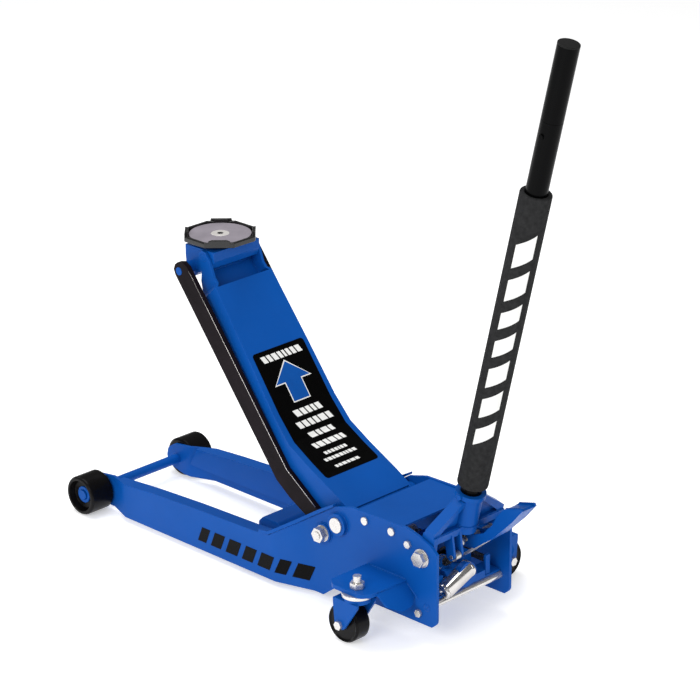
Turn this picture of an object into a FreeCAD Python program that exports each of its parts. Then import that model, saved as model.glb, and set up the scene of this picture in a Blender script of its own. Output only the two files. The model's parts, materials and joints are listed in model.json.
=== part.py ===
import FreeCAD, Part
import os
import math
import Sketcher

# Low-profile, long-reach hydraulic floor jack of the three-ton class, lift arm raised.
# Millimetres.  +X points to the rear (handle) end, +Y to the jack's right, +Z up.
# The origin is on the floor, under the middle of the front axle.

doc = FreeCAD.newDocument("floor_jack")
dim = doc.addObject("Spreadsheet::Sheet", "dim")
vec = FreeCAD.Vector

SIZES = [
    # chassis
    ("plate_gauge", 6, "thickness of the side frames"),
    ("rear_face", 102, "outer face of the rear side plates, from the middle"),
    ("arm_face", 126, "outer face of the front arms"),
    ("arm_inner", 98, "inner face of the front arms"),
    ("tip_face", 106, "outer face of the arm tips, behind the wheels"),
    ("rear_edge", 917, "rear edge of the side plates"),
    ("arm_bottom", 10, "bottom of the front arms"),
    ("plate_bottom", 36, "bottom of the rear side plates"),
    ("plate_top", 216, "top of the rear side plates"),
    ("arm_top", 98, "top of the front arms at the middle of their length"),
    ("cover_front", 718, "front edge of the top cover"),
    ("cover_rear", 826, "rear edge of the top cover"),
    ("cover_top", 212, "top face of the top cover"),
    # front wheels
    ("wheel_radius", 40, "front wheel"),
    ("wheel_face", 165, "outer face of the front wheels"),
    ("wheel_width", 57, "front wheel"),
    ("axle_radius", 10, "front axle"),
    # lifting linkage
    ("shaft_x", 669, "lift shaft"),
    ("shaft_z", 169, "lift shaft"),
    ("shaft_radius", 15, "lift shaft"),
    ("link_dx", -38, "radius rod pivot, from the lift shaft"),
    ("link_dz", -29, "radius rod pivot, from the lift shaft"),
    ("reach", 573.8, "lift arm, shaft to tip pin"),
    ("lift_angle", 46.9, "lift arm above the level, fully raised"),
    ("arm_half", 83, "half width of the lift arm at the shaft"),
    ("arm_half_tip", 74, "half width of the lift arm at the shoulder"),
    ("cheek_half", 67, "half width over the cheeks at the arm's tip"),
    ("shoulder", 511, "shaft to the shoulder of the lift arm"),
    ("rod_inner", 85, "inner face of the radius rods"),
    ("rod_gauge", 10.4, "thickness of the radius rods"),
    ("rod_half", 16, "half depth of the radius rods"),
    ("pin_radius", 8, "tip pin and link bolts"),
    # saddle
    ("saddle_top", 616, "face of the saddle plate"),
    ("saddle_x", 254, "saddle swivel axis"),
    ("saddle_radius", 68, "saddle, over the flats"),
    # hydraulics
    ("ram_z", 112.8, "axis of the hydraulic cylinder"),
    ("lug_reach", 60, "lift shaft to the lug pin"),
    ("lug_angle", 29, "lug pin ahead of the vertical, fully raised"),
    ("ram_radius", 17, "ram rod"),
    ("bore_radius", 23, "cylinder bore"),
    ("cylinder_front", 773, "front face of the hydraulic cylinder"),
    ("block_front", 838, "front face of the pump block"),
    # handle
    ("yoke_x", 880, "handle yoke pivot"),
    ("yoke_z", 168, "handle yoke pivot"),
    ("handle_tilt", 13.5, "handle behind the vertical"),
    ("tube_radius", 20, "handle tube"),
    ("foam_start", 127, "foam sleeve, from the yoke pivot"),
    ("foam_end", 730, "foam sleeve, from the yoke pivot"),
    ("foam_radius", 29, "foam sleeve"),
    ("joint_height", 869, "joint of the two handle tubes, from the pivot"),
    ("button_height", 842, "snap button, from the pivot"),
    ("handle_end", 1010, "top of the handle, from the pivot"),
    ("ring_height", 112, "top of the handle socket, from the pivot"),
    # pump
    ("pump_y", -34, "axis of the pump plunger"),
    ("pump_tilt", 51, "pump plunger behind the vertical"),
    ("roller_reach", 24, "yoke pivot to the roller"),
    ("valve_tilt", 20.2, "release valve behind the vertical"),
    # casters
    ("swivel_x", 799, "caster swivel"),
    ("swivel_y", 187, "caster swivel, from the middle"),
    ("trail", 21, "caster trail"),
    ("caster_radius", 38, "caster wheel"),
    ("caster_width", 38, "caster wheel"),
    ("bracket_top", 112, "top face of the caster brackets"),
    # running clearance of turning parts, on the radius
    ("running", 0.08, "running clearance"),
]

dim.set("A1", "name")
dim.set("B1", "value")
dim.set("C1", "what it is")
for row, (alias, value, meaning) in enumerate(SIZES, start=2):
    dim.set("A%d" % row, alias)
    dim.set("B%d" % row, str(value))
    dim.set("C%d" % row, meaning)
    dim.setAlias("B%d" % row, alias)
doc.recompute()

NODES = {}


def value(expression):
    """Number that a size expression has now."""
    if isinstance(expression, (int, float)):
        return float(expression)
    result = dim.evalExpression(expression)
    return float(getattr(result, "Value", result))


def bind(thing, path, expression):
    """Bind a property to an expression over the sheet, or set a plain number."""
    if isinstance(expression, (int, float)):
        expression = repr(expression)
    thing.setExpression(path, expression)


def place(thing, x=0, y=0, z=0, axis=None, angle=0):
    """Place an object by bound coordinates and one bound turn."""
    if axis is not None:
        thing.Placement = FreeCAD.Placement(vec(0, 0, 0), FreeCAD.Rotation(axis, value(angle)))
        if isinstance(angle, str):
            bind(thing, "Placement.Rotation.Angle", angle)
    for letter, expression in (("x", x), ("y", y), ("z", z)):
        bind(thing, "Placement.Base." + letter, expression)
    return thing


def node(label, thing):
    """Name a finished sub-part."""
    thing.Label = label
    NODES[label] = thing
    return thing


def box(name, x, y, z, length, width, height):
    """Box by its lowest corner and its sides along X, Y and Z."""
    thing = doc.addObject("Part::Box", name)
    bind(thing, "Length", length)
    bind(thing, "Width", width)
    bind(thing, "Height", height)
    return place(thing, x, y, z)


TURN = {"X": (vec(0, 1, 0), 90), "Y": (vec(1, 0, 0), -90), "Z": (vec(0, 0, 1), 0)}


def rod(name, axis, x, y, z, radius, length):
    """Solid cylinder that starts at x, y, z and runs along a positive axis."""
    thing = doc.addObject("Part::Cylinder", name)
    bind(thing, "Radius", radius)
    bind(thing, "Height", length)
    return place(thing, x, y, z, *TURN[axis])


def ring(name, axis, x, y, z, outer, inner, length):
    """Tube: one cylinder bored by another."""
    shell = rod(name + "_outside", axis, x, y, z, outer, length)
    bore = rod(name + "_bore", axis, x, y, z, inner, length)
    return cut(name, shell, bore)


def hexagon(name, axis, x, y, z, radius, height):
    """Hexagonal prism by its corner radius."""
    thing = doc.addObject("Part::Prism", name)
    thing.Polygon = 6
    bind(thing, "Circumradius", radius)
    bind(thing, "Height", height)
    return place(thing, x, y, z, *TURN[axis])


def fuse(name, *things):
    result = doc.addObject("Part::MultiFuse", name)
    result.Shapes = list(things)
    result.Refine = True
    return result


def cut(name, base, *tools):
    result = doc.addObject("Part::Cut", name)
    result.Base = base
    result.Tool = tools[0] if len(tools) == 1 else fuse(name + "_tools", *tools)
    result.Refine = True
    return result


def common(name, *things):
    result = doc.addObject("Part::MultiCommon", name)
    result.Shapes = list(things)
    result.Refine = True
    return result


def group(name, *things):
    """Separate solids that share one node."""
    result = doc.addObject("Part::Compound", name)
    result.Links = list(things)
    return result


def mirrored(name, source):
    """The same piece on the other side of the jack's middle plane."""
    result = doc.addObject("Part::Mirroring", name)
    result.Source = source
    result.Normal = vec(0, 1, 0)
    return result


def both_sides(name, source):
    """A piece and its mirror image, as separate solids."""
    return group(name, source, mirrored(name + "_other", source))


def origin_plane(body, role):
    return next(f for f in body.Origin.OriginFeatures if f.Role == role)


def plate(name, plane, start, thickness, corners, rounds=None):
    """Flat piece of any outline: a sketch on an origin plane, padded along the plane's world axis.

    corners are pairs of expressions in the plane; rounds maps a corner's index to its radius."""
    body = doc.addObject("PartDesign::Body", name)
    sketch = body.newObject("Sketcher::SketchObject", name + "_outline")
    sketch.AttachmentSupport = (origin_plane(body, plane + "_Plane"), [""])
    sketch.MapMode = "FlatFace"
    sign = -1 if plane == "XZ" else 1
    bind(sketch, "AttachmentOffset.Base.z", "%d * (%s)" % (sign, start))
    spots = [vec(value(u), value(v), 0) for u, v in corners]
    for i, spot in enumerate(spots):
        sketch.addGeometry(Part.LineSegment(spot, spots[(i + 1) % len(spots)]))
    for i in range(len(spots)):
        sketch.addConstraint(Sketcher.Constraint("Coincident", i, 2, (i + 1) % len(spots), 1))
    for i, (u, v) in enumerate(corners):
        for kind, coordinate in (("DistanceX", u), ("DistanceY", v)):
            index = sketch.addConstraint(Sketcher.Constraint(kind, -1, 1, i, 1, value(coordinate)))
            if isinstance(coordinate, str):
                sketch.setExpression("Constraints[%d]" % index, coordinate)
    pad = body.newObject("PartDesign::Pad", name + "_pad")
    pad.Profile = sketch
    pad.Reversed = plane == "XZ"
    bind(pad, "Length", thickness)
    doc.recompute()
    for radius in sorted(set((rounds or {}).values()), key=str):
        wanted = [spots[i] for i in rounds if rounds[i] == radius]
        round_corners(body, plane, wanted, radius)
    return body


def in_plane(plane, point):
    """A point's coordinates in the sketch axes of an origin plane."""
    return {"XZ": (point.x, point.z), "XY": (point.x, point.y), "YZ": (point.y, point.z)}[plane]


def round_corners(body, plane, spots, radius):
    """Fillet the edges that stand on the given corners of a padded outline."""
    base = body.Tip
    edges = []
    for number, edge in enumerate(base.Shape.Edges, start=1):
        ends = [in_plane(plane, vertex.Point) for vertex in edge.Vertexes]
        if len(ends) != 2 or math.dist(ends[0], ends[1]) > 1e-6:
            continue
        if any(math.dist(ends[0], (spot.x, spot.y)) < 1e-4 for spot in spots):
            edges.append("Edge%d" % number)
    fillet = body.newObject("PartDesign::Fillet", body.Name + "_round")
    fillet.Base = (base, edges)
    bind(fillet, "Radius", radius)
    body.Tip = fillet
    doc.recompute()


def turned(name, corners):
    """Turned piece: half outline in radius and height, revolved about +Z."""
    body = doc.addObject("PartDesign::Body", name)
    sketch = body.newObject("Sketcher::SketchObject", name + "_outline")
    sketch.AttachmentSupport = (origin_plane(body, "XZ_Plane"), [""])
    sketch.MapMode = "FlatFace"
    spots = [vec(value(u), value(v), 0) for u, v in corners]
    for i, spot in enumerate(spots):
        sketch.addGeometry(Part.LineSegment(spot, spots[(i + 1) % len(spots)]))
    for i in range(len(spots)):
        sketch.addConstraint(Sketcher.Constraint("Coincident", i, 2, (i + 1) % len(spots), 1))
    for i, (u, v) in enumerate(corners):
        for kind, coordinate in (("DistanceX", u), ("DistanceY", v)):
            index = sketch.addConstraint(Sketcher.Constraint(kind, -1, 1, i, 1, value(coordinate)))
            if isinstance(coordinate, str):
                sketch.setExpression("Constraints[%d]" % index, coordinate)
    revolution = body.newObject("PartDesign::Revolution", name + "_turn")
    revolution.Profile = sketch
    revolution.ReferenceAxis = (sketch, ["V_Axis"])
    revolution.Angle = 360
    return body


def carved(name, profile, plan, low, high, rounds=None):
    """Piece with a side profile (XZ) and a plan (XY): what two padded outlines share."""
    side = plate(name + "_side", "XZ", low, "(%s) - (%s)" % (high, low), profile, rounds)
    top = plate(name + "_plan", "XY", -400, 900, plan)
    return common(name, side, top)


def strip_plan(faces, gauge):
    """Plan of a bent strip: its outer face as (x, y) pairs, and its thickness inwards."""
    inner = ["(%s) - (%s)" % (y, gauge) for x, y in faces]
    return list(faces) + [(x, y) for (x, _), y in reversed(list(zip(faces, inner)))]


# ---------------------------------------------------------------- side frames
GAUGE = "dim.plate_gauge"
arm_rise = [
    (-32, 38), (-27, 58), (-8, 70), (44, 77), (174, 87), (290, 93), (458, "dim.arm_top"),
    (504, "dim.arm_top + 4"), (568, 142), (620, 176), (659, 201),
]
rear_end = [
    (703, "dim.plate_top - 3"), (840, "dim.plate_top"), (870, 209), (900, 198), ("dim.rear_edge", 184),
    ("dim.rear_edge", 46), (905, "dim.plate_bottom"), (660, "dim.plate_bottom"),
    (626, "dim.arm_bottom"), (20, "dim.arm_bottom"), (-22, 20),
]
outer_face = [
    (-60, "dim.tip_face"), (38, "dim.tip_face"), (92, "dim.arm_face"), (520, "dim.arm_face"),
    (604, "dim.rear_face"), (960, "dim.rear_face"),
]
skin = carved("frame_skin", arm_rise + rear_end, strip_plan(outer_face, GAUGE), 85, 135,
              {0: 14, 1: 14, 2: 14, 13: 12, 16: 14, 21: 10})
web_outline = [
    (60, 72), (174, 81), (290, 87), (458, "dim.arm_top - 6"), (502, "dim.arm_top - 2"), (590, 150),
    (590, 160), (568, 142), (504, "dim.arm_top + 4"), (458, "dim.arm_top"), (290, 93), (174, 87),
    (60, 78.4),
]
web_plan = [(60, "dim.arm_inner"), (596, "dim.arm_inner - 1"), (596, 101), (520, "dim.arm_face - 3"),
            (92, "dim.arm_face - 3"), (60, 112)]
web = carved("frame_web", web_outline, web_plan, 85, 135)
inner_leg = plate("frame_leg", "XZ", "dim.arm_inner", GAUGE,
                  [(40, 38), (560, 38), (560, 128), (504, 96), (458, "dim.arm_top - 3"), (290, 90),
                   (174, 84), (60, 75)])
flange_outline = [(478, 100), (504, 103), (568, 143), (620, 177), (659, 202), (659, 207), (617, 183),
                  (565, 149), (502, 109), (478, 106)]
flange_faces = [(470, "dim.arm_face + 1"), (520, "dim.arm_face + 1"), (604, "dim.rear_face + 5"),
                (670, "dim.rear_face + 5")]
flange = carved("frame_flange", flange_outline, strip_plan(flange_faces, 11), 85, 135)
blank = fuse("frame_blank", skin, web, inner_leg, flange)
frame_holes = [
    rod("hole_axle", "Y", 0, 80, "dim.wheel_radius", "dim.axle_radius + 0.02", 60),
    rod("hole_shaft", "Y", "dim.shaft_x", 80, "dim.shaft_z", "dim.shaft_radius + 0.02", 60),
    rod("hole_link", "Y", "dim.shaft_x + dim.link_dx", 80, "dim.shaft_z + dim.link_dz",
        "dim.pin_radius + 0.02", 60),
    rod("hole_yoke", "Y", "dim.yoke_x", 80, "dim.yoke_z", 8.02, 60),
    rod("hole_tie", "Y", 893, 80, 72, 7.02, 60),
]
for x in (737, 805):
    frame_holes.append(rod("hole_cover", "Y", x, 80, 197, 4.02, 60))
frame_half = cut("frame_half", blank, *frame_holes)
node("side_frame_right", frame_half)
node("side_frame_left", mirrored("frame_half_left", frame_half))

# ------------------------------------------------ cross pieces between the frames
sill = box("sill", 400, "-dim.arm_inner", 14, 58, "2 * dim.arm_inner", 22)
hump = plate("hump", "XZ", -45, 90, [(392, 14), (392, 70), (404, 82), (446, 82), (462, 66), (462, 14)],
             {1: 8, 2: 8, 3: 10, 4: 10})
node("front_cross_member", fuse("front_cross", sill, hump))
lid = box("lid", "dim.cover_front", -96, "dim.cover_top - 4", "dim.cover_rear - dim.cover_front", 192, 4)
lid_flange = box("lid_flange", "dim.cover_front", 91, 184, "dim.cover_rear - dim.cover_front", 5,
                 "dim.cover_top - 186")
lid_holes = [rod("lid_hole", "Y", x, 80, 197, 4.02, 30) for x in (737, 805)]
lid_side = cut("lid_side", lid_flange, *lid_holes)
lid_nose = plate("lid_nose", "XZ", -96, 192, [("dim.cover_front", "dim.cover_top - 4"),
                                              ("dim.cover_front", "dim.cover_top"),
                                              ("dim.cover_front - 3", "dim.cover_top"),
                                              ("dim.cover_front - 9", "dim.cover_top - 16"),
                                              ("dim.cover_front - 6", "dim.cover_top - 17")])
node("top_cover", fuse("cover", lid, lid_side, mirrored("lid_side_other", lid_side), lid_nose))


def screw(name, x, z, face, shank, head, height, depth, hex_head=True):
    """Screw along Y whose head stands on an outer face."""
    top = (hexagon if hex_head else rod)(name + "_head", "Y", x, face, z, head, height)
    body = rod(name + "_shank", "Y", x, "(%s) - (%s)" % (face, depth), z, shank, depth)
    return fuse(name, top, body)


cover_screws = [screw("cover_screw", x, 197, "dim.rear_face", 4, 8, 4, 11, False) for x in (737, 805)]
node("cover_screws", group("cover_screw_set", *[both_sides("cover_pair", s) for s in cover_screws]))
node("rear_tie_rod", rod("tie_rod", "Y", 893, "-dim.rear_face", 72, 7, "2 * dim.rear_face"))
frame_bolts = [hexagon("frame_bolt", "Y", x, "dim.rear_face", z, 8, 6) for x, z in ((847, 185), (874, 56))]
node("frame_bolts", group("frame_bolt_set", *[both_sides("frame_bolt_pair", b) for b in frame_bolts]))

# ------------------------------------------------ lift shaft and link bolts
node("lift_shaft", rod("shaft", "Y", "dim.shaft_x", -113, "dim.shaft_z", "dim.shaft_radius", 226))
collar = ring("collar", "Y", "dim.shaft_x", "dim.rear_face", "dim.shaft_z", "dim.shaft_radius + 7",
              "dim.shaft_radius + 0.02", 8)
boss_ring = ring("boss_ring", "Y", "dim.shaft_x + dim.link_dx", "dim.rear_face",
                 "dim.shaft_z + dim.link_dz", 19, "dim.pin_radius + 0.02", 5)
node("shaft_collars", group("collar_set", both_sides("collar_pair", collar),
                            both_sides("boss_ring_pair", boss_ring)))
link_bolt = rod("link_bolt", "Y", "dim.shaft_x + dim.link_dx", 84.5, "dim.shaft_z + dim.link_dz",
                "dim.pin_radius", 40)
node("link_bolts", both_sides("link_bolt_set", link_bolt))
nut_blank = hexagon("link_nut_blank", "Y", "dim.shaft_x + dim.link_dx", "dim.rear_face + 6",
                    "dim.shaft_z + dim.link_dz", 15, 14.5)
washer = rod("link_washer", "Y", "dim.shaft_x + dim.link_dx", "dim.rear_face + 5",
             "dim.shaft_z + dim.link_dz", 16, 1.5)
nut_bore = rod("link_nut_bore", "Y", "dim.shaft_x + dim.link_dx", 80, "dim.shaft_z + dim.link_dz",
               "dim.pin_radius + 0.02", 50)
link_nut = cut("link_nut", fuse("link_nut_body", nut_blank, washer), nut_bore)
node("link_nuts", both_sides("link_nut_set", link_nut))

# ------------------------------------------------------------- front wheels
node("front_axle", rod("axle", "Y", 0, -158, "dim.wheel_radius", "dim.axle_radius", 316))
axle_cap = ring("axle_cap", "Y", 0, 150.5, "dim.wheel_radius", 17, "dim.axle_radius + 0.02", 4)
node("axle_clips", both_sides("axle_cap_set", axle_cap))
R = "dim.wheel_radius"
wheel_outline = [
    ("dim.axle_radius + dim.running", 0), (R + " - 4", 0), (R, 4), (R, "dim.wheel_width - 5"),
    (R + " - 1.5", "dim.wheel_width - 1.5"), (R + " - 5", "dim.wheel_width"),
    (R + " - 8", "dim.wheel_width"), (R + " - 12", "dim.wheel_width - 13"),
    ("dim.axle_radius + 9", "dim.wheel_width - 15"),
    ("dim.axle_radius + dim.running", "dim.wheel_width - 15"),
]
front_wheel = place(turned("front_wheel", wheel_outline), 0, "dim.wheel_face - dim.wheel_width",
                    "dim.wheel_radius", vec(1, 0, 0), -90)
node("front_wheel_right", front_wheel)
node("front_wheel_left", mirrored("front_wheel_other", front_wheel))

# ----------------------------------------------------------------- lift arm
# Drawn about the lift shaft, tip towards -X, then turned up by the lift angle.
TIP = "-dim.reach"
arm_top_line = [(-511, -3), (-359, -19), (-243, -33), (-183, -34), (-128, -17), (-51, 11), (-12, 23)]
arm_top_line[0] = ("-dim.shoulder", -3)
cheek_outline = arm_top_line + [
    (14, 25), (28, 12), (29, -8), (16, -25), (-12, -32), (-60, -60), (-120, -76), (-183, -84),
    (-243, -82), (-359, -80), (-430, -72), (-500, -60), (TIP + " + 46", -48), (TIP + " + 30", -38),
    (TIP + " + 18", -24), (TIP + " - 4", -15),
    (TIP + " - 13", -6), (TIP + " - 13", 6), (TIP + " - 5", 12), (TIP + " + 14", 10),
    (TIP + " + 44", -3),
]
cheek_faces = [
    (40, "dim.arm_half"), (-183, "dim.arm_half"), ("-dim.shoulder + 8", "dim.arm_half_tip"),
    ("-dim.shoulder", "dim.arm_half_tip"), ("-dim.shoulder - 7", "dim.cheek_half"),
    (TIP + " - 30", "dim.cheek_half"),
]
cheek = carved("cheek", cheek_outline, strip_plan(cheek_faces, GAUGE), 50, 95)
cheek_other = mirrored("cheek_other", cheek)
under_line = [(x, "(%s) - 6" % z) for x, z in reversed(arm_top_line)]
top_profile = arm_top_line + under_line
roof_plan = [(20, "dim.arm_half - 2"), (-183, "dim.arm_half - 2"),
             ("-dim.shoulder", "dim.arm_half_tip - 2")]
roof_plan += [(x, "-(%s)" % y) for x, y in reversed(roof_plan)]
roof = carved("roof", top_profile, roof_plan, -90, 90)
end_wall = box("end_wall", "-dim.shoulder", "2 - dim.arm_half_tip", -34, 6, "2 * dim.arm_half_tip - 4", 30)
pocket_floor = box("pocket_floor", TIP + " + 19.5", "6 - dim.cheek_half", -32,
                   "dim.reach - dim.shoulder - 15.5", "2 * dim.cheek_half - 12", 5)
torque_tube = rod("torque_tube", "Y", 0, -95.3, 0, "dim.shaft_radius + 8", 190.6)
LUG_X = "dim.lug_reach * sin(dim.lift_angle - dim.lug_angle)"
LUG_Z = "-dim.lug_reach * cos(dim.lift_angle - dim.lug_angle)"
lug_eye = rod("lug_eye", "Y", LUG_X, -12, LUG_Z, 14, 24)
lug_arm = plate("lug_arm", "XZ", -12, 24, [(-20, 0), (20, 0), (LUG_X + " + 13", LUG_Z),
                                           (LUG_X + " - 13", LUG_Z)])
arm_blank = fuse("arm_blank", cheek, cheek_other, roof, end_wall, pocket_floor, torque_tube, lug_eye,
                 lug_arm)
arm_holes = [
    rod("arm_hole_shaft", "Y", 0, -120, 0, "dim.shaft_radius + dim.running", 240),
    rod("arm_hole_tip", "Y", TIP, -120, 0, "dim.pin_radius + 0.02", 240),
    rod("arm_hole_lug", "Y", LUG_X, -40, LUG_Z, 7.02, 80),
]
lift_arm = cut("arm", arm_blank, *arm_holes)


def on_arm(thing):
    """Carry a piece drawn in the lift arm's own axes to the raised arm."""
    return place(thing, "dim.shaft_x", 0, "dim.shaft_z", vec(0, 1, 0), "dim.lift_angle")


node("lift_arm", on_arm(lift_arm))
node("arm_tip_pin", on_arm(group("tip_pin_set", rod("tip_pin", "Y", TIP, "-dim.cheek_half", 0,
                                                    "dim.pin_radius", "2 * dim.cheek_half"))))
node("arm_lug_pin", on_arm(group("lug_pin_set", rod("lug_pin", "Y", LUG_X, -25, LUG_Z, 7, 50))))

# -------------------------------------------------------------- radius rods
H = "dim.rod_half"
rod_outline = [
    (5, H), (-142, -13.5), (TIP + " + 6", H + " + 10"), (TIP + " - 8", H + " + 6"), (TIP + " - 15", 10),
    (TIP + " - 16", 0), (TIP + " - 11", -10), (TIP, -14), (-138, -54), (-96, -46),
    (-6, "-dim.rod_half"), (10, -13), (16, -2), (13, 11),
]
bar = plate("bar", "XZ", "dim.rod_inner", "dim.rod_gauge", rod_outline)
bar_holes = [
    rod("bar_hole_rear", "Y", 0, 80, 0, "dim.pin_radius + dim.running", 30),
    rod("bar_hole_front", "Y", TIP, 80, 0, "dim.pin_radius + 0.1", 30),
]
radius_rod = cut("radius_rod", bar, *bar_holes)
place(radius_rod, "dim.shaft_x + dim.link_dx", 0, "dim.shaft_z + dim.link_dz", vec(0, 1, 0),
      "dim.lift_angle")
node("radius_rod_right", radius_rod)
node("radius_rod_left", mirrored("radius_rod_other", radius_rod))

# ------------------------------------------------------ saddle head and saddle
# Drawn about the arm's tip pin, level.
TIP_X = "dim.shaft_x - dim.reach * cos(dim.lift_angle)"
TIP_Z = "dim.shaft_z + dim.reach * sin(dim.lift_angle)"
DX = "dim.link_dx"
DZ = "dim.link_dz"
head_outline = [
    (-57, 13), (22, 13), (22, -6), (15, -21), (-4, -29), (DX + " + 16", DZ + " - 8"),
    (DX + " + 6", DZ + " - 17"), (DX + " - 8", DZ + " - 17"), (DX + " - 18", DZ + " - 6"),
    (DX + " - 18", DZ + " + 12"), (-57, -8),
]
head_block = plate("head_block", "XZ", "7 - dim.cheek_half", "2 * dim.cheek_half - 14", head_outline)
head_gap = box("head_gap", -80, -34, -60, 58, 68, 44)
boss = rod("boss", "Y", DX, "dim.cheek_half - 9", DZ, 13, "dim.rod_inner - dim.cheek_half + 8.7")
head_solid = fuse("head_solid", cut("head_cut", head_block, head_gap), boss, mirrored("boss_other", boss))
SWIVEL = "dim.saddle_x - (%s)" % TIP_X
head_holes = [
    rod("head_hole_tip", "Y", 0, -70, 0, "dim.pin_radius + dim.running", 140),
    rod("head_hole_link", "Y", DX, -100, DZ, "dim.pin_radius + 0.02", 200),
    rod("head_hole_post", "Z", SWIVEL, 0, -14, "12 + dim.running", 60),
]
head = place(cut("head", head_solid, *head_holes), TIP_X, 0, TIP_Z)
node("saddle_head", head)
link_pins = rod("link_pin", "Y", DX, -96.4, DZ, "dim.pin_radius", 192.8)
node("head_link_pin", place(group("link_pin_set", link_pins), TIP_X, 0, TIP_Z))

SEAT = "dim.saddle_top - 14"
dish_disc = doc.addObject("Part::Prism", "dish_disc")
dish_disc.Polygon = 8
bind(dish_disc, "Circumradius", "dim.saddle_radius / cos(22.5)")
dish_disc.Height = 15
place(dish_disc, 0, 0, 6, vec(0, 0, 1), 22.5)
dish_base = rod("dish_base", "Z", 0, 0, 0, 52, 7)
dish_hollow = doc.addObject("Part::Prism", "dish_hollow")
dish_hollow.Polygon = 8
bind(dish_hollow, "Circumradius", "(dim.saddle_radius - 7) / cos(22.5)")
dish_hollow.Height = 30
place(dish_hollow, 0, 0, 9, vec(0, 0, 1), 22.5)
notches = [box("notch_along", -100, -33, 16, 200, 66, 30), box("notch_across", -33, -100, 16, 66, 200, 30)]
dish_bore = rod("dish_bore", "Z", 0, 0, -40, 8.02, 80)
dish_post = rod("dish_post", "Z", 0, 0, -26, 12, 27)
dish_blank = fuse("dish_blank", cut("dish_rim", dish_disc, dish_hollow), dish_base, dish_post)
dish = cut("dish", dish_blank, dish_bore, *notches)
node("saddle_dish", place(dish, "dim.saddle_x", 0, SEAT))
node("saddle_plate", place(ring("plate_ring", "Z", 0, 0, 9, "dim.saddle_radius - 8", 18.05, 5),
                           "dim.saddle_x", 0, SEAT))
bolt_shank = rod("bolt_shank", "Z", 0, 0, -22, 8, 33)
bolt_head = rod("bolt_head", "Z", 0, 0, 9, 18, 4.8)
saddle_screw = fuse("saddle_bolt", bolt_shank, bolt_head)
node("saddle_screw", place(saddle_screw, "dim.saddle_x", 0, SEAT))

# ------------------------------------------------------------- hydraulics
# The crosshead stands forward with the arm raised and slides back as it comes down.
PIN_X = "dim.shaft_x - dim.lug_reach * sin(dim.lug_angle)"
CROSS_X = "%s + 50" % PIN_X
cross_outline = [(CROSS_X, "dim.ram_z - 14"), (CROSS_X + " + 20", "dim.ram_z - 14"),
                 (CROSS_X + " + 20", "dim.ram_z + 14"), (CROSS_X, "dim.ram_z + 14")]
crosshead = plate("crosshead", "XZ", -60, 120, cross_outline)
hook_eye = ring("hook_eye", "Y", CROSS_X + " + 10", 60, "dim.ram_z", 11, 4, 8)
link_side = plate("link_side", "XZ", 13, 9, [(PIN_X + " - 14", "dim.ram_z - 14"),
                                             (CROSS_X + " + 1", "dim.ram_z - 12"),
                                             (CROSS_X + " + 1", "dim.ram_z + 12"),
                                             (PIN_X + " - 14", "dim.ram_z + 14")])
slot = box("slot", PIN_X + " - 7.9", 5, "dim.ram_z - 11.3", 15.8, 30, 22.6)
link = cut("link", link_side, slot)
node("ram_crosshead", fuse("cross", crosshead, hook_eye, mirrored("hook_eye_other", hook_eye), link,
                           mirrored("link_other", link)))
node("ram_rod", rod("ram", "X", CROSS_X + " + 20", 0, "dim.ram_z", "dim.ram_radius", 74))
cylinder = ring("cylinder", "X", "dim.cylinder_front", 0, "dim.ram_z", 30,
                "dim.bore_radius", "dim.block_front - dim.cylinder_front")
gland = ring("gland", "X", "dim.cylinder_front", 0, "dim.ram_z", "dim.bore_radius + 1",
             "dim.ram_radius + dim.running", 8)
node("hydraulic_cylinder", fuse("cylinder_and_gland", cylinder, gland))
tank_shell = box("tank_shell", "dim.cylinder_front + 2", -48, 72,
                 "dim.block_front - dim.cylinder_front - 2", 96, 82)
tank_hole = rod("tank_hole", "X", "dim.cylinder_front - 5", 0, "dim.ram_z", 30.02, 100)
node("reservoir", cut("tank", tank_shell, tank_hole))
node("filler_plug", hexagon("plug", "Z", 806, 26, 154, 8, 6))

# pump block, with the plunger barrel and the release valve boss
BACK = "sin(dim.pump_tilt)"
DOWN = "cos(dim.pump_tilt)"
ROLLER_X = "dim.yoke_x + 21.5"
ROLLER_Z = "dim.yoke_z - 10.6"
START_X = ROLLER_X + " - 8.6 * " + BACK
START_Z = ROLLER_Z + " - 8.6 * " + DOWN


def along_plunger(name, start, radius, length):
    """Cylinder on the plunger's axis, from a distance below the plunger's end and downwards."""
    thing = doc.addObject("Part::Cylinder", name)
    bind(thing, "Radius", radius)
    bind(thing, "Height", length)
    return place(thing, "%s - %s * %s" % (START_X, start, BACK), "dim.pump_y",
                 "%s - %s * %s" % (START_Z, start, DOWN), vec(0, 1, 0), "180 + dim.pump_tilt")


VALVE_BACK = "sin(dim.valve_tilt)"
VALVE_UP = "cos(dim.valve_tilt)"


def along_valve(name, start, radius, length, shape="Part::Cylinder"):
    """Cylinder on the valve's axis, measured downwards from the yoke pivot."""
    thing = doc.addObject(shape, name)
    bind(thing, "Radius", radius)
    bind(thing, "Height", length)
    return place(thing, "dim.yoke_x - %s * %s" % (start, VALVE_BACK), 0,
                 "dim.yoke_z - %s * %s" % (start, VALVE_UP), vec(0, 1, 0), "180 + dim.valve_tilt")


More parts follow.
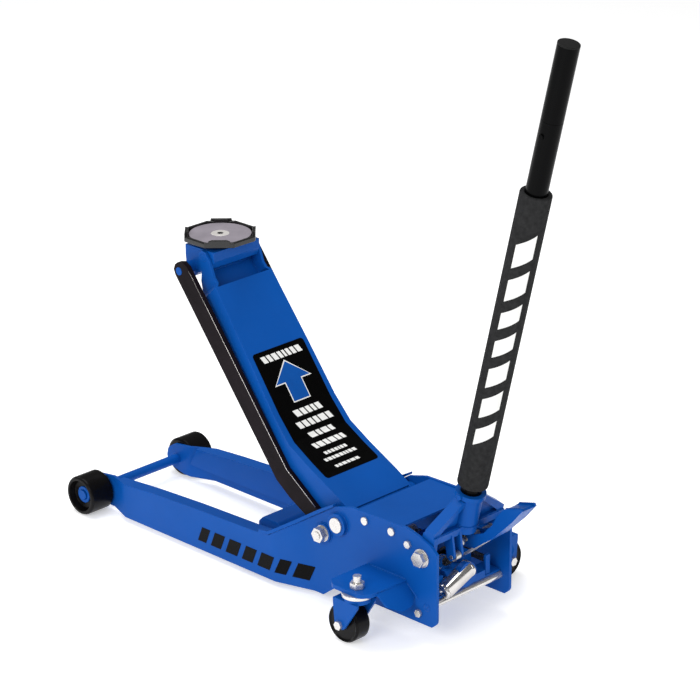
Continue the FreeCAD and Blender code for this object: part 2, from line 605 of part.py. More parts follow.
block_outline = [("dim.block_front", 84), (898, 84), (898, 114), (888, 126), ("dim.block_front", 126)]
block = plate("block", "XZ", -50, 100, block_outline, {3: 4})
rear_boss = rod("rear_boss", "X", 896, -10, 112, 24, 12)
rear_cap = rod("rear_cap", "X", 906, -10, 112, 10, 6)
barrel = along_plunger("barrel", 28, 16, 24)
valve_boss = along_valve("valve_boss", 32, 12, 20)
block_solid = fuse("block_solid", block, rear_boss, rear_cap, barrel, valve_boss)
block_bores = [
    along_plunger("plunger_bore", 24, "6 + dim.running", 45),
    along_valve("valve_bore", 22, "6 + dim.running", 44),
    rod("ram_bore", "X", "dim.block_front - 5", 0, "dim.ram_z", "dim.bore_radius - 4", 13),
    box("strap_room", 862, 15, 98, 60, 40, 40),
]
node("pump_block", cut("pump", block_solid, *block_bores))
mount = box("mount", 850, "-dim.rear_face + dim.plate_gauge", 79, 44,
            "2 * (dim.rear_face - dim.plate_gauge)", 5)
anchor = box("anchor_post", 886, 58, 82, 6, 12, 40)
node("pump_mount", fuse("mount_and_anchors", mount, anchor, mirrored("anchor_other", anchor)))
plunger = fuse("plunger_blank", along_plunger("plunger_body", 0, 6, 41),
               along_plunger("plunger_cap", 0.5, 7.9, 3))
node("pump_plunger", plunger)
coil = cut("coil", along_plunger("coil_outside", 3.6, 7.7, 24), along_plunger("coil_inside", 3, 6.3, 26))
node("plunger_spring", coil)
screw_body = fuse("valve_blank", along_valve("valve_stem", 6, 6, 52), along_valve("valve_collar", 12, 9, 6))
ball = doc.addObject("Part::Sphere", "knuckle")
ball.Radius = 10
place(ball, "dim.yoke_x", 0, "dim.yoke_z")
node("release_valve_screw", fuse("valve_screw", screw_body, ball))
spring = ring("return_coil", "X", CROSS_X + " + 22", 64, "dim.ram_z", 7, 5, "886 - (%s + 22)" % CROSS_X)
node("return_springs", both_sides("return_spring_set", spring))

# ------------------------------------------------------------ handle and yoke
# Drawn about the yoke pivot, handle upright, then tilted back.


def on_handle(thing):
    """Carry a piece drawn in the handle's own axes to the tilted handle."""
    return place(thing, "dim.yoke_x", 0, "dim.yoke_z", vec(0, 1, 0), "dim.handle_tilt")


ear = plate("ear", "XZ", 85, 9.5, [(-17, -10), (-8, -17), (8, -17), (17, -10), (19, 6), (14, 46), (-14, 46),
                                   (-19, 6)])
crossbar = box("crossbar", -14, -94, 31, 28, 188, 15)
gusset_web = plate("gusset_web", "YZ", -3, 6, [(20, 40), (90, 40), (90, 50), (28, 99), (20, 99)])
gusset_bar = plate("gusset_bar", "YZ", -11, 22, [(82, 44), (94.5, 44), (94.5, 54), (28, 101), (22, 101),
                                                 (22, 92)])
gusset = fuse("gusset", gusset_web, gusset_bar)
socket = rod("socket", "Z", 0, 0, 31, 25, "dim.ring_height - 31")
collar_ring = rod("collar_ring", "Z", 0, 0, "dim.ring_height - 9", "dim.foam_radius", 9)
cheek_shape = [(-10, 44), (12, 44), (30, -2), (24, -14), (14, -12), (6, 8), (-10, 32)]
roller_cheek = plate("roller_cheek", "XZ", "dim.pump_y - 13", 5, cheek_shape)
roller_cheek_far = plate("roller_cheek_far", "XZ", "dim.pump_y + 8", 5, cheek_shape)
ROLLER_U = "21.5 * cos(dim.handle_tilt) + 10.6 * sin(dim.handle_tilt)"
ROLLER_W = "21.5 * sin(dim.handle_tilt) - 10.6 * cos(dim.handle_tilt)"
yoke_solid = fuse("yoke_solid", ear, mirrored("ear_other", ear), crossbar, gusset,
                  mirrored("gusset_other", gusset), socket, collar_ring, roller_cheek, roller_cheek_far)
yoke_holes = [
    rod("yoke_hole_pivot", "Y", 0, -120, 0, "8 + dim.running", 240),
    rod("yoke_hole_handle", "Z", 0, 0, 48, "dim.tube_radius + dim.running", 200),
    rod("yoke_hole_rod", "Z", 0, 0, 20, 12, 60),
    rod("yoke_hole_roller", "Y", ROLLER_U, "dim.pump_y - 20", ROLLER_W, 4.02, 40),
    rod("yoke_hole_screw", "Y", 0, -40, "dim.ring_height - 4.5", 3.02, 30),
]
node("handle_yoke", on_handle(cut("yoke", yoke_solid, *yoke_holes)))
screw_shank = rod("socket_screw_shank", "Y", 0, -29, "dim.ring_height - 4.5", 3, 8)
screw_head = rod("socket_screw_head", "Y", 0, -33.2, "dim.ring_height - 4.5", 5.5, 4.2)
node("socket_screw", on_handle(group("socket_screw_set", fuse("socket_screw", screw_shank, screw_head))))
roller_pin = rod("roller_pin", "Y", ROLLER_U, "dim.pump_y - 14", ROLLER_W, 4, 28)
node("roller_pin", on_handle(group("roller_pin_set", roller_pin)))
roller = ring("roller", "Y", ROLLER_U, "dim.pump_y - 6.5", ROLLER_W, 8, "4 + dim.running", 13)
node("pump_roller", on_handle(group("roller_set", roller)))
bolt = fuse("yoke_bolt", rod("yoke_bolt_shank", "Y", "dim.yoke_x", 85, "dim.yoke_z", 8, 20),
            hexagon("yoke_bolt_head", "Y", "dim.yoke_x", "dim.rear_face + 2", "dim.yoke_z", 15, 12),
            rod("yoke_bolt_washer", "Y", "dim.yoke_x", "dim.rear_face", "dim.yoke_z", 18, 3))
node("yoke_bolts", both_sides("yoke_bolt_set", bolt))

lower = ring("lower", "Z", 0, 0, 48, "dim.tube_radius", 18, "dim.joint_height - 48")
lower_floor = rod("lower_floor", "Z", 0, 0, 50, 18.5, 6)
button_hole = rod("button_hole", "Y", 0, -40, "dim.button_height", 5.08, 40)
release_rod = rod("release_rod", "Z", 0, 0, 12, 6, 50)
node("handle_lower_tube", on_handle(cut("lower_cut", fuse("lower_blank", lower, lower_floor, release_rod),
                                        button_hole)))
node("handle_foam", on_handle(group("foam_set", ring("foam", "Z", 0, 0, "dim.foam_start", "dim.foam_radius",
                                                     "dim.tube_radius + 0.02",
                                                     "dim.foam_end - dim.foam_start"))))
upper = ring("upper", "Z", 0, 0, "dim.joint_height + 0.5", "dim.tube_radius", 15,
             "dim.handle_end - dim.joint_height - 0.5")
insert = ring("insert", "Z", 0, 0, 780, 17.95, 15, 100)
insert_hole = rod("insert_hole", "Y", 0, -40, "dim.button_height", 5.08, 40)
node("handle_upper_tube", on_handle(cut("upper_cut", fuse("upper_blank", upper, insert), insert_hole)))
cap_plug = rod("cap_plug", "Z", 0, 0, "dim.handle_end - 12", 14.98, 12)
cap_disc = rod("cap_disc", "Z", 0, 0, "dim.handle_end", "dim.tube_radius", 3)
node("handle_end_cap", on_handle(group("cap_set", fuse("cap", cap_plug, cap_disc))))
node("snap_button", on_handle(group("button_set", rod("button", "Y", 0, -23, "dim.button_height", 5, 12))))

# -------------------------------------------------------------- foot pedal
# Drawn about the yoke pivot, as it stands at rest.
teeth = []
for step in range(9):
    run = 96 + 4.4 * step
    teeth += [(run, 88.5 + 1.2 * step), (run + 2.4, 91.9 + 1.2 * step)]
pedal_side = [(-12, -3), (-7, -11), (4, -13), (22, -13), (70, 24), (112, 66), (137, 96)]
pedal_side += list(reversed(teeth))
pedal_side += [(90, 84), (80, 72), (66, 48), (44, 24), (8, 10), (-7, 10)]
pedal_left = plate("pedal_left", "XZ", 14, 4, pedal_side)
pedal_right = plate("pedal_right", "XZ", 50, 4, pedal_side)
web_outline = [(40, 1), (70, 24.2), (112, 66.2), (135, 94), (131, 95), (108, 69), (66, 28), (37, 5)]
pedal_web = plate("pedal_web", "XZ", 16, 36, web_outline)
tread_outline = [(68, 46), (82, 68), (92, 79), (103, 85), (132, 93), (131, 96.5), (101, 89), (89, 83),
                 (78, 71), (64, 49)]
tread = plate("pedal_tread", "XZ", 16, 36, tread_outline)
pedal_hole = rod("pedal_hole", "Y", 0, 0, 0, "6 + dim.running", 80)
pedal = cut("pedal", fuse("pedal_blank", pedal_left, pedal_right, pedal_web, tread), pedal_hole)
node("foot_pedal", place(pedal, "dim.yoke_x", 0, "dim.yoke_z"))
strap_bar = plate("strap_bar", "XZ", 20, 28, [(31.3, -5.5), (28.7, -2.5), (-13.3, -37.6), (-10.7, -40.6)])
strap_seat = plate("strap_seat", "XZ", 18, 32, [(31.3, -5.5), (28.7, -2.5), (18.5, -11), (20.5, -12.9)])
strap_slot = box("strap_slot", -4, 30, -45, 18, 8, 40)
strap = cut("strap", fuse("strap_blank", strap_bar, strap_seat), strap_slot)
node("pedal_strap", place(strap, "dim.yoke_x", 0, "dim.yoke_z"))
node("pedal_pin", rod("pedal_shaft", "Y", "dim.yoke_x", 12.5, "dim.yoke_z", 6, 72))

# ------------------------------------------------------------------ casters
TOP = "dim.bracket_top"
shelf = plate("shelf", "XY", TOP + " - 8", 8, [(741, "dim.rear_face"), (842, "dim.rear_face"), (841, 150),
                                             (838, 190), (824, 208), (756, 208), (739, 194)],
              {4: 14, 5: 12, 3: 10, 6: 10})
skirt_slope = plate("skirt_slope", "XZ", "dim.rear_face", 78,
                    [(835, TOP + " - 3"), (841, TOP + " - 3"), (873, 74), (867, 70)])
skirt_face = plate("skirt_face", "YZ", 820, 70, [("dim.rear_face", TOP + " - 2"), (178, TOP + " - 2"),
                                                (172, 86), (142, 71), (118, 76), ("dim.rear_face", 86)],
                   {3: 20, 4: 20})
skirt = common("skirt", skirt_slope, skirt_face)
lip = carved("lip", [(740, TOP + " - 20"), (765, TOP + " - 20"), (765, TOP + " - 4"), (740, TOP + " - 4")],
             [(741, "dim.rear_face"), (747, "dim.rear_face"), (746, 150), (740, 150)], 90, 160)
king_hole = rod("king_hole", "Z", "dim.swivel_x", "dim.swivel_y", 60, 8.02, 80)
shelf_cut = cut("bracket", fuse("bracket_blank", shelf, skirt, lip), king_hole)
node("caster_bracket_right", shelf_cut)
node("caster_bracket_left", mirrored("bracket_other", shelf_cut))
king = rod("king", "Z", "dim.swivel_x", "dim.swivel_y", 84, 8, "dim.bracket_top - 60")
king_head = rod("king_head", "Z", "dim.swivel_x", "dim.swivel_y", 81, 13, 4)
node("king_bolts", both_sides("king_set", fuse("king_bolt", king, king_head)))
king_nut = cut("king_nut", hexagon("king_nut_blank", "Z", "dim.swivel_x", "dim.swivel_y", TOP, 14, 11),
               rod("king_nut_bore", "Z", "dim.swivel_x", "dim.swivel_y", 90, 8.02, 60))
node("king_nuts", both_sides("king_nut_set", king_nut))
race = ring("race", "Z", "dim.swivel_x", "dim.swivel_y", 97, 29, 8.02, "dim.bracket_top - 8 - 97")
node("caster_races", both_sides("race_set", race))
WHEEL_X = "dim.swivel_x - dim.trail"
HALF = "dim.caster_width / 2"
fork_top = rod("fork_top", "Z", "dim.swivel_x", "dim.swivel_y", 87, 26, 9.8)
fork_arch = box("fork_arch", WHEEL_X + " - 16", "dim.swivel_y - 26", 84, "dim.trail + 24", 52, 6)
leg_outline = [(WHEEL_X + " - 11", 31), (WHEEL_X + " + 11", 31), (WHEEL_X + " + 45", 84),
               (WHEEL_X + " + 45", 90), (WHEEL_X + " - 16", 90), (WHEEL_X + " - 16", 80)]
fork_leg = plate("fork_leg", "XZ", "dim.swivel_y + 21", 5, leg_outline, {0: 9, 1: 9})
fork_leg_inner = plate("fork_leg_inner", "XZ", "dim.swivel_y - 26", 5, leg_outline, {0: 9, 1: 9})
fork_holes = [
    rod("fork_hole_king", "Z", "dim.swivel_x", "dim.swivel_y", 70, "8 + dim.running", 60),
    rod("fork_hole_head", "Z", "dim.swivel_x", "dim.swivel_y", 70, 13.5, 15.4),
    rod("fork_hole_axle", "Y", WHEEL_X, 150, "dim.caster_radius", 5.02, 80),
]
fork = cut("fork", fuse("fork_blank", fork_top, fork_arch, fork_leg, fork_leg_inner), *fork_holes)


def turned_out(name, thing):
    """The right-hand caster stands a quarter turn outwards about its swivel."""
    return place(group(name, thing), "dim.swivel_x - dim.swivel_y", "dim.swivel_x + dim.swivel_y", 0,
                 vec(0, 0, 1), -90)


node("caster_fork_right", turned_out("fork_out", fork))
node("caster_fork_left", mirrored("fork_other", fork))
axle_bolt = rod("axle_bolt", "Y", WHEEL_X, "dim.swivel_y - 30", "dim.caster_radius", 5, 60)
axle_nut = hexagon("axle_nut", "Y", WHEEL_X, "dim.swivel_y + 26", "dim.caster_radius", 9, 6)
axle_head = hexagon("axle_head", "Y", WHEEL_X, "dim.swivel_y - 31", "dim.caster_radius", 9, 5)
caster_axle = fuse("caster_axle", axle_bolt, axle_nut, axle_head)
node("caster_axle_right", turned_out("caster_axle_out", caster_axle))
node("caster_axle_left", mirrored("caster_axle_other", caster_axle))
C = "dim.caster_radius"
W = "dim.caster_width"
caster_outline = [
    ("5 + dim.running", 0), (13, 0), (13, 3), (C + " - 7", 4), (C + " - 3", 1), (C, 5), (C, W + " - 5"),
    (C + " - 3", W + " - 1"), (C + " - 7", W + " - 4"), (13, W + " - 3"), (13, W), ("5 + dim.running", W),
]
caster_wheel = place(turned("caster_wheel", caster_outline), WHEEL_X, "dim.swivel_y - (%s)" % HALF,
                     "dim.caster_radius", vec(1, 0, 0), -90)
node("caster_wheel_right", turned_out("caster_wheel_out", caster_wheel))
node("caster_wheel_left", mirrored("caster_wheel_other", caster_wheel))


# ------------------------------------------------------------------ output
doc.recompute()
for thing in doc.Objects:
    if "Invalid" in thing.State or "Error" in thing.State:
        raise RuntimeError("%s (%s) did not compute: %s" % (thing.Name, thing.Label, thing.getStatusString()))
os.makedirs("parts", exist_ok=True)
for label, thing in NODES.items():
    if thing.Shape.isNull() or not thing.Shape.isValid():
        raise RuntimeError(label + " has no valid shape")
    thing.Shape.exportStep("parts/" + label + ".step")
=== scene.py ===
import json
import math
import random

import bmesh
import bpy
from mathutils import Matrix, Vector


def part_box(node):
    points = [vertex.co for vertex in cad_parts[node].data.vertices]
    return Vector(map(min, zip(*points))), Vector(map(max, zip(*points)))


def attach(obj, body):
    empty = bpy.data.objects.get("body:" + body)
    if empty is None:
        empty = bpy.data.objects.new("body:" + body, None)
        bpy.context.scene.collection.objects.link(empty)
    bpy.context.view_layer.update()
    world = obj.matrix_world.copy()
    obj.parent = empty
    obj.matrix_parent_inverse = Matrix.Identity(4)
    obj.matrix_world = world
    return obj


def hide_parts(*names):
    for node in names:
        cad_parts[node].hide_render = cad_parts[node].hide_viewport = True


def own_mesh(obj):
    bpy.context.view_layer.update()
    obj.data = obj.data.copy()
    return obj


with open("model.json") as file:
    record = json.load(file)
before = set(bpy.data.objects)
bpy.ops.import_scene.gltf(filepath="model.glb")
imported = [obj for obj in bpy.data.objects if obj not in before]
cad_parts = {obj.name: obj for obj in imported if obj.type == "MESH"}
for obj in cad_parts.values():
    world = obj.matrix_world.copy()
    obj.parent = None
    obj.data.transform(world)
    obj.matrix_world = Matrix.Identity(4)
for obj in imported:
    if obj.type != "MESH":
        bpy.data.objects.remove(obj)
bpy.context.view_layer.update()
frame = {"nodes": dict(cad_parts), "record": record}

random.seed(7)
NODES = frame["nodes"]


# ------------------------------------------------------------------ materials
def new_material(name):
    """Empty node material, with its tree and its shader."""
    material = bpy.data.materials.new(name)
    material.use_nodes = True
    tree = material.node_tree
    return material, tree, tree.nodes["Principled BSDF"]


def link(tree, a, out, b, into):
    """Wire one node's output to another node's input."""
    tree.links.new(a.outputs[out], b.inputs[into])


def noise(tree, scale, detail=4.0, rough=0.55):
    """Noise fixed to the piece's own coordinates."""
    node = tree.nodes.new("ShaderNodeTexNoise")
    node.inputs["Scale"].default_value = scale
    node.inputs["Detail"].default_value = detail
    node.inputs["Roughness"].default_value = rough
    link(tree, tree.nodes.new("ShaderNodeTexCoord"), "Object", node, "Vector")
    return node


def ramp(tree, source, out, stops):
    """Colour ramp over a node's output, from (position, colour) stops."""
    node = tree.nodes.new("ShaderNodeValToRGB")
    while len(node.color_ramp.elements) < len(stops):
        node.color_ramp.elements.new(0.5)
    for element, (spot, color) in zip(node.color_ramp.elements, stops):
        element.position = spot
        element.color = tuple(color) + (1.0,)
    link(tree, source, out, node, "Fac")
    return node


def shade(color, factor):
    """Lighter or darker colour, kept in range."""
    return tuple(min(1.0, c * factor) for c in color)


def surface(name, color, rough, metal=0.0, coat=0.0, vary=0.12, grain=300.0, bump=0.02,
            wear=25.0, rough_vary=0.08, gloss=0.08):
    """Procedural finish: slow colour drift, roughness drift and a fine bump."""
    material, tree, shader = new_material(name)
    drift = noise(tree, wear)
    colors = ramp(tree, drift, "Fac", [(0.3, shade(color, 1 - vary)), (0.7, shade(color, 1 + vary))])
    link(tree, colors, "Color", shader, "Base Color")
    low, high = max(0.02, rough - rough_vary), min(1.0, rough + rough_vary)
    roughs = ramp(tree, noise(tree, wear * 2.3), "Fac", [(0.3, (low,) * 3), (0.75, (high,) * 3)])
    link(tree, roughs, "Color", shader, "Roughness")
    shader.inputs["Metallic"].default_value = metal
    shader.inputs["Specular IOR Level"].default_value = 0.5 if metal > 0.5 else gloss
    shader.inputs["Coat Weight"].default_value = coat
    shader.inputs["Coat Roughness"].default_value = 0.08
    fine = noise(tree, grain, 3.0)
    bumper = tree.nodes.new("ShaderNodeBump")
    bumper.inputs["Strength"].default_value = bump
    bumper.inputs["Distance"].default_value = 0.001
    link(tree, fine, "Fac", bumper, "Height")
    link(tree, bumper, "Normal", shader, "Normal")
    return material


FINISH = {
    "blue_paint": surface("powder_blue", (0.0025, 0.076, 0.355), 0.36, coat=0.02, vary=0.05, grain=900,
                          bump=0.08, wear=9),
    "dark_paint": surface("rod_black", (0.0085, 0.0055, 0.0075), 0.36, vary=0.25, grain=600, bump=0.1,
                          gloss=0.05),
    "gloss_black": surface("tube_black", (0.0010, 0.0010, 0.0012), 0.28, coat=0.02, vary=0.1, grain=700,
                           bump=0.05, gloss=0.05),
    "zinc": surface("zinc_plate", (0.68, 0.66, 0.64), 0.24, metal=0.75, vary=0.06, grain=250, bump=0.02,
                    wear=40, rough_vary=0.05),
    "steel": surface("ground_steel", (0.52, 0.50, 0.48), 0.30, metal=0.9, vary=0.08, grain=300,
                     bump=0.03, wear=60),
    "spring_steel": surface("spring_black", (0.03, 0.03, 0.032), 0.4, metal=0.8, vary=0.2),
    "cast_black": surface("cast_black", (0.0045, 0.0045, 0.005), 0.26, coat=0.35, gloss=0.35, vary=0.2,
                          grain=260, bump=0.3),
    "grey_pad": surface("pad_grey", (0.27, 0.245, 0.28), 0.40, metal=0.1, vary=0.12, grain=300,
                        bump=0.25),
    "tyre_black": surface("wheel_black", (0.0035, 0.0032, 0.0035), 0.34, coat=0.08, vary=0.2, grain=350,
                          bump=0.15),
    "foam": surface("foam_grey", (0.024, 0.0242, 0.025), 0.85, vary=0.25, grain=1300, bump=0.9, wear=120,
                    gloss=0.05),
    "plastic": surface("cap_black", (0.012, 0.012, 0.012), 0.5, vary=0.15, grain=500, bump=0.2),
}
MARK_WHITE = surface("mark_white", (0.80, 0.80, 0.78), 0.45, vary=0.03, grain=900, bump=0.1)
MARK_BLACK = surface("mark_black", (0.001, 0.001, 0.001), 0.30, coat=0.02, gloss=0.06, vary=0.1,
                     grain=900, bump=0.05)
MARK_BLUE = surface("mark_blue", (0.004, 0.075, 0.33), 0.35, vary=0.05, grain=900, bump=0.05)
WELD = surface("weld_blue", (0.0025, 0.072, 0.34), 0.40, coat=0.02, vary=0.10, grain=500, bump=0.3,
               gloss=0.10)
# Lighter, less metallic copy of the zinc plating: a painted highlight for the pedal strap and the saddle
# screw.
ZINC_PAINTED_HIGHLIGHT = surface("zinc_painted_highlight", (0.80, 0.77, 0.74), 0.28, metal=0.45, vary=0.05, grain=200, bump=0.02,
                wear=30)
POLISHED = surface("pump_polished", (0.62, 0.60, 0.585), 0.17, metal=0.9, vary=0.12, grain=200,
                   bump=0.02, wear=22)

slots = {s["node"]: s["material_slot"] for s in frame["record"]["subparts"]}
# Nodes that differ from the usual finish of their slot: the pedal strap and the saddle screw get a lighter
# copy of the zinc plating, a painted highlight, and the socket screw is painted over in blue.
OWN_FINISH_AND_HIGHLIGHT = {"pedal_strap": ZINC_PAINTED_HIGHLIGHT, "saddle_screw": ZINC_PAINTED_HIGHLIGHT, "socket_screw": FINISH["blue_paint"]}
# Rounding of edges, in mm.
USUAL_BEVEL = 0.8
BEVEL = {"side_frame_left": 2.2, "side_frame_right": 2.2, "lift_arm": 2.2, "saddle_dish": 1.5,
         "front_cross_member": 4.0, "handle_yoke": 2.0, "caster_bracket_left": 2.5,
         "caster_bracket_right": 2.5,
         "foot_pedal": 0.35, "handle_foam": 3.0, "radius_rod_left": 1.4, "radius_rod_right": 1.4}


SEAM = 0.00002
FLAT_ANGLE, EDGE_ANGLE = math.radians(0.6), math.radians(24.0)


def soften(obj, width):
    """Rounded edges on a piece, without touching its own vertices."""
    weld = obj.modifiers.new("weld", "WELD")
    weld.merge_threshold = SEAM
    flat = obj.modifiers.new("flat", "DECIMATE")
    flat.decimate_type = "DISSOLVE"
    flat.angle_limit = FLAT_ANGLE
    bevel = obj.modifiers.new("bevel", "BEVEL")
    bevel.width = width
    bevel.segments = 3
    bevel.limit_method = "ANGLE"
    bevel.angle_limit = EDGE_ANGLE
    bevel.harden_normals = False
    normals = obj.modifiers.new("normals", "WEIGHTED_NORMAL")
    normals.keep_sharp = False


for name, obj in NODES.items():
    obj.data.materials.clear()
    obj.data.materials.append(OWN_FINISH_AND_HIGHLIGHT.get(name, FINISH[slots[name]]))
    for polygon in obj.data.polygons:
        polygon.use_smooth = True
    soften(obj, BEVEL.get(name, USUAL_BEVEL) / 1000)


# ------------------------------------------------------------------ helpers
def add_mesh(name, verts, faces, material, body, smooth=True):
    """New piece that rides on a body."""
    mesh = bpy.data.meshes.new(name)
    mesh.from_pydata([tuple(v) for v in verts], [], faces)
    mesh.validate()
    mesh.update()
    obj = bpy.data.objects.new(name, mesh)
    bpy.context.collection.objects.link(obj)
    obj.data.materials.append(material)
    for polygon in mesh.polygons:
        polygon.use_smooth = smooth
    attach(obj, body)
    return obj


def tube_path(points, radius, sides, wobble=0.0):
    """Vertices and faces of a round bar along a list of points."""
    verts, faces = [], []
    count = len(points)
    up = Vector((0, 0, 1))
    previous = None
    for i, point in enumerate(points):
        along = (points[min(i + 1, count - 1)] - points[max(i - 1, 0)]).normalized()
        if previous is None:
            side = along.cross(up)
            if side.length < 1e-3:
                side = along.cross(Vector((1, 0, 0)))
        else:
            side = previous - along * previous.dot(along)
        side.normalize()
        previous = side
        other = along.cross(side)
        r = radius * (1 + wobble * random.uniform(-1, 1))
        for k in range(sides):
            a = 2 * math.pi * k / sides
            verts.append(point + side * (r * math.cos(a)) + other * (r * math.sin(a)))
    for i in range(count - 1):
        for k in range(sides):
            a, b = i * sides + k, i * sides + (k + 1) % sides
            faces.append((a, b, b + sides, a + sides))
    faces.append(tuple(range(sides))[::-1])
    faces.append(tuple((count - 1) * sides + k for k in range(sides)))
    return verts, faces


def coil_points(start, end, radius, turns):
    """Centre line of a coil spring from start to end."""
    axis = end - start
    along = axis.normalized()
    side = along.cross(Vector((0, 0, 1))).normalized()
    other = along.cross(side)
    steps = int(turns * 18)
    points = []
    for i in range(steps + 1):
        s = i / steps
        angle = 2 * math.pi * turns * s
        around = side * (radius * math.cos(angle)) + other * (radius * math.sin(angle))
        points.append(start + axis * s + around)
    return points


def bead(name, path, radius, body):
    """Weld bead: a lumpy rope along a path."""
    points = []
    for a, b in zip(path, path[1:]):
        steps = max(2, int((b - a).length / 0.0022))
        for i in range(steps):
            points.append(a.lerp(b, i / steps))
    points.append(path[-1])
    verts, faces = tube_path(points, radius, 8, wobble=0.13)
    return add_mesh(name, verts, faces, WELD, body)


def mm(*values):
    """Point in metres from millimetres."""
    return Vector([v / 1000 for v in values])


def lathe(name, origin, axis, profile, material, body, sides=48):
    """Turned piece: (distance, radius) pairs in mm along an axis."""
    side = axis.cross(Vector((0, 1, 0) if abs(axis.y) < 0.9 else (1, 0, 0))).normalized()
    other = axis.cross(side)
    verts, faces = [], []
    for distance, radius in profile:
        centre = origin + axis * (distance / 1000)
        for k in range(sides):
            a = 2 * math.pi * k / sides
            verts.append(centre + (side * math.cos(a) + other * math.sin(a)) * (radius / 1000))
    rings = len(profile)
    for i in range(rings):
        for k in range(sides):
            a, b = i * sides + k, i * sides + (k + 1) % sides
            c, d = ((i + 1) % rings) * sides + (k + 1) % sides, ((i + 1) % rings) * sides + k
            faces.append((a, b, c, d))
    return add_mesh(name, verts, faces, material, body)


# ------------------------------------------------------------- return springs
RETURN_COIL, RETURN_WIRE, RETURN_TURNS = 0.0059, 0.00105, 44
SPRING_HALF_WIDTH = 0.007
END_GAP = 0.001
low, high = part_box("return_springs")
mid_z = (low.z + high.z) / 2
for side, sign in (("left", -1), ("right", 1)):
    y = sign * (high.y - SPRING_HALF_WIDTH)
    start, end = Vector((low.x + END_GAP, y, mid_z)), Vector((high.x - END_GAP, y, mid_z))
    verts, faces = tube_path(coil_points(start, end, RETURN_COIL, RETURN_TURNS), RETURN_WIRE, 6)
    coil = add_mesh("return_coil_" + side, verts, faces, FINISH["spring_steel"], "chassis")
    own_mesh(coil)
    if side == "left":
        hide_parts("return_springs")


# ------------------------------------------------------- places on the object
JOINTS = {j["name"]: j for j in frame["record"]["behaviour"]["joints"]}
SHAFT = Vector(JOINTS["arm_lift"]["pos_m"])
TIP = Vector(JOINTS["head_level"]["pos_m"])
YOKE = Vector(JOINTS["handle_tilt"]["pos_m"])
HANDLE = Vector(JOINTS["handle_twist"]["axis"]).normalized()
ARM_BACK = (SHAFT - TIP).normalized()
ARM_UP = ARM_BACK.cross(Vector((0, -1, 0))).normalized()
if ARM_UP.z < 0:
    ARM_UP = -ARM_UP
HANDLE_BACK = Vector((HANDLE.z, 0, -HANDLE.x))
# In mm: the arm's top line, as (along, above) from the shaft, and the near side frame's outer face, as
# (x, distance from the middle plane).
ARM_TOP = [(-511, -3), (-359, -19), (-243, -33), (-183, -34), (-128, -17), (-51, 11), (-12, 23)]
FRAME_FACE = [(92, 126), (520, 126), (604, 102), (960, 102)]
FOAM_RADIUS = 29.0
FILM = 0.25


def along(profile, x):
    """Height of a profile line at x."""
    for (x0, z0), (x1, z1) in zip(profile, profile[1:]):
        if x <= x1:
            return z0 + (z1 - z0) * (x - x0) / (x1 - x0)
    return profile[-1][1]


def on_arm(u, v, h):
    """Point over the lift arm's top plate: u along the arm from the shaft, v across, h above, in mm."""
    z = along(ARM_TOP, u) + h
    return SHAFT + ARM_BACK * (u / 1000) + Vector((0, v / 1000, 0)) + ARM_UP * (z / 1000)


def on_side(u, v, h):
    """Point over the near side frame: u along X, v up, h outwards, in mm."""
    return mm(u, -(along(FRAME_FACE, u) + h), v)


def on_foam(u, v, h):
    """Point over the foam sleeve: u up the handle, v as degrees round it, h outwards."""
    angle = math.radians(v)
    out = HANDLE_BACK * math.cos(angle) + Vector((0, math.sin(angle), 0))
    return YOKE + HANDLE * (u / 1000) + out * ((FOAM_RADIUS + h) / 1000)


def sheet(name, outlines, height, where, material, body, cuts_u=(), cuts_v=()):
    """Thin printed film: flat outlines, cut where the surface under them bends, laid on it."""
    mesh = bpy.data.meshes.new(name)
    work = bmesh.new()
    for outline in outlines:
        work.faces.new([work.verts.new((u, v, 0)) for u, v in outline])
    for spots, normal in ((cuts_u, (1, 0, 0)), (cuts_v, (0, 1, 0))):
        for spot in spots:
            bmesh.ops.bisect_plane(work, geom=work.verts[:] + work.edges[:] + work.faces[:],
                                   plane_co=Vector(normal) * spot, plane_no=normal)
    for vertex in work.verts:
        vertex.co = where(vertex.co.x, vertex.co.y, height)
    bmesh.ops.recalc_face_normals(work, faces=work.faces[:])
    work.to_mesh(mesh)
    work.free()
    obj = bpy.data.objects.new(name, mesh)
    bpy.context.collection.objects.link(obj)
    obj.data.materials.append(material)
    solid = obj.modifiers.new("thick", "SOLIDIFY")
    solid.thickness = FILM / 1000
    solid.offset = 0
    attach(obj, body)
    return obj


def blocks(start, length, low, high, count, lean, gap, vary=0.25):
    """A row of leaning blocks along u, between v = low and v = high."""
    rows = []
    weights = [1 + random.uniform(-vary, vary) for _ in range(count)]
    step = length / sum(weights)
    spot = start
    for weight in weights:
        width = weight * step - gap
        rows.append([(spot, low), (spot + width, low), (spot + width + lean, high), (spot + lean, high)])
        spot += weight * step
    return rows


def across(rows):
    """Swap u and v of a set of outlines."""
    return [[(v, u) for u, v in row] for row in rows]


def rounded(u0, u1, half0, half1, radius):
    """Four-sided panel outline with rounded corners, half widths at its two ends."""
    outline = []
    corners = ((u0, half0, 180, -1), (u1, half1, 270, -1), (u1, half1, 0, 1), (u0, half0, 90, 1))
    for cu, half, turn, side in corners:
        centre_u = cu + (radius if cu == u0 else -radius)
        centre_v = side * (half - radius)
        for k in range(6):
            a = math.radians(turn + 18 * k)
            outline.append((centre_u + radius * math.cos(a), centre_v + radius * math.sin(a)))
    return outline


# ------------------------------------------------------------------- graphics
# Places where the surfaces under the films bend, and how far above them each film layer lies.
BENDS = (-359, -243, -183, -128, -51)
SIDE_BENDS = (520, 540, 560, 580, 604)
FOAM_BENDS = range(-80, -16, 6)
PANEL_LAYER, MARK_LAYER, ARROW_LAYER = 0.35, 0.75, 1.1
sheet("arm_panel", [rounded(-366, -88, 67, 70, 7)], PANEL_LAYER, on_arm, MARK_BLACK, "arm",
      BENDS)
